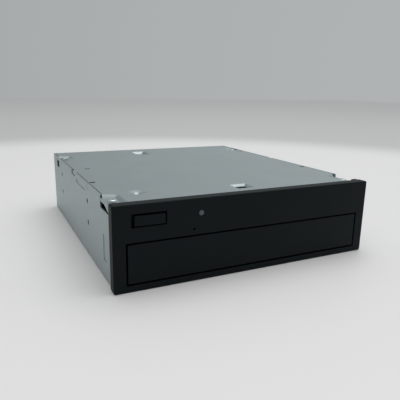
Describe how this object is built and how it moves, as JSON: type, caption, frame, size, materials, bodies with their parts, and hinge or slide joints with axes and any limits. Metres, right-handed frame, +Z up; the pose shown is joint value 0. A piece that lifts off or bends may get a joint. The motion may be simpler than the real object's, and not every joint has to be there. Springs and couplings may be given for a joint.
{
  "type": "dvd writer",
  "caption": "Half-height optical disc drive for a computer bay, steel-cased with a black front, motor-driven disc tray, eject button, spindle and laser pickup.",
  "frame": {"origin": "middle of the footprint at the height of the surface that the drive lies on", "axes": "+Z up as the drive lies, with its base plate up and its cover down; -Y towards the bezel; +X right seen from the front"},
  "size_m": [0.148, 0.1666, 0.0415],
  "materials": {
    "zinc_steel": "zinc-coated steel sheet, satin",
    "bezel_plastic": "fine-textured black moulded front",
    "tray_plastic": "black moulded tray",
    "chassis_plastic": "dark moulded chassis",
    "gear_plastic": "natural acetal",
    "lamp_plastic": "smoked clear acrylic",
    "board_laminate": "green circuit board",
    "chip_resin": "black moulded resin",
    "capacitor_can": "drawn aluminium can",
    "connector_plastic": "black nylon",
    "contact_gold": "gold-plated contact",
    "ribbon_film": "flat cable film",
    "bush_rubber": "black rubber",
    "bright_steel": "plated steel",
    "magnet_ferrite": "sintered ferrite",
    "pickup_alloy": "die-cast alloy",
    "lens_glass": "moulded lens",
    "coil_copper": "enamelled copper on laminations"
  },
  "bodies": {
    "case": {"outer_case": "zinc_steel", "base_plate": "zinc_steel", "base_screws": "bright_steel", "front_bezel": "bezel_plastic", "light_pipe": "lamp_plastic", "activity_lamp": "lamp_plastic", "front_board": "board_laminate", "eject_switch": "connector_plastic", "loader_chassis": "chassis_plastic", "loading_motor": "bright_steel", "drive_belt": "bush_rubber", "clamp_bridge": "zinc_steel", "main_board": "board_laminate", "board_chips": "chip_resin", "board_capacitors": "capacitor_can", "rear_connector": "connector_plastic", "connector_contacts": "contact_gold", "ribbon_sockets": "gear_plastic", "link_ribbon": "ribbon_film", "pickup_ribbon": "ribbon_film", "pivot_bushes": "bush_rubber"},
    "tray": {"disc_tray": "tray_plastic", "tray_door": "bezel_plastic"},
    "button": {"eject_button": "bezel_plastic", "switch_plunger": "gear_plastic"},
    "tray_gear": {"tray_gear": "gear_plastic"},
    "pulley_gear": {"pulley_gear": "gear_plastic"},
    "motor_rotor": {"motor_pulley": "gear_plastic", "motor_shaft": "bright_steel"},
    "cam": {"cam_slider": "gear_plastic"},
    "traverse": {"traverse_frame": "chassis_plastic", "main_guide_rod": "bright_steel", "side_guide_rod": "bright_steel", "spindle_base": "zinc_steel", "spindle_stator": "coil_copper", "feed_motor": "bright_steel", "feed_bracket": "zinc_steel"},
    "spindle": {"spindle_rotor": "bright_steel", "turntable": "chassis_plastic", "turntable_mat": "bush_rubber", "hub_magnet": "magnet_ferrite"},
    "pickup": {"pickup_housing": "pickup_alloy", "lens_cover": "chassis_plastic", "objective_lens": "lens_glass", "feed_nut": "gear_plastic"},
    "feed_screw": {"lead_screw": "bright_steel"},
    "clamp": {"clamp_puck": "chassis_plastic", "clamp_plate": "zinc_steel"}
  },
  "joints": [
    {"name": "tray_slide", "type": "slide", "parent": "case", "child": "tray", "axis": [0, -1, 0], "range_m": [0, 0.138]},
    {"name": "eject_press", "type": "slide", "parent": "case", "child": "button", "axis": [0, 1, 0], "range_m": [0, 0.0008], "stiffness_N_per_m": 400},
    {"name": "tray_gear_turn", "type": "hinge", "parent": "case", "child": "tray_gear", "pos_m": [-0.028, -0.06275, 0.0145], "axis": [0, 0, 1], "range_deg": [0, 792]},
    {"name": "pulley_gear_turn", "type": "hinge", "parent": "case", "child": "pulley_gear", "pos_m": [-0.01297, -0.05728, 0.0145], "axis": [0, 0, -1], "range_deg": [0, 1319]},
    {"name": "motor_turn", "type": "hinge", "parent": "case", "child": "motor_rotor", "pos_m": [0.016, -0.05985, 0.0176], "axis": [0, 0, -1], "range_deg": [0, 4401]},
    {"name": "traverse_tilt", "type": "hinge", "parent": "case", "child": "traverse", "pos_m": [0, 0.06275, 0.024], "axis": [-1, 0, 0], "range_deg": [0, 2.9]},
    {"name": "cam_slide", "type": "slide", "parent": "case", "child": "cam", "axis": [1, 0, 0], "range_m": [0, 0.0141]},
    {"name": "spindle_spin", "type": "hinge", "parent": "traverse", "child": "spindle", "pos_m": [0, -0.0145, 0.0124], "axis": [0, 0, 1], "continuous": true},
    {"name": "pickup_feed", "type": "slide", "parent": "traverse", "child": "pickup", "axis": [0, 1, 0], "range_m": [0, 0.035], "deforming": ["pickup_ribbon"]},
    {"name": "feed_screw_turn", "type": "hinge", "parent": "traverse", "child": "feed_screw", "pos_m": [0.033, 0.01675, 0.021], "axis": [0, 1, 0], "range_deg": [0, 4201]},
    {"name": "clamp_spin", "type": "hinge", "parent": "case", "child": "clamp", "pos_m": [0, -0.0145, 0.0047], "axis": [0, 0, 1], "continuous": true}
  ],
  "couplings": [
    {"joint": "tray_gear_turn", "follows": "tray_slide", "rad_per_m": 100},
    {"joint": "pulley_gear_turn", "follows": "tray_slide", "rad_per_m": 166.67},
    {"joint": "motor_turn", "follows": "tray_slide", "rad_per_m": 556.41},
    {"joint": "cam_slide", "follows": "traverse_tilt", "m_per_rad": 0.2766},
    {"joint": "feed_screw_turn", "follows": "pickup_feed", "rad_per_m": 2094.4},
    {"joint": "clamp_spin", "follows": "spindle_spin", "ratio": 1}
  ]
}
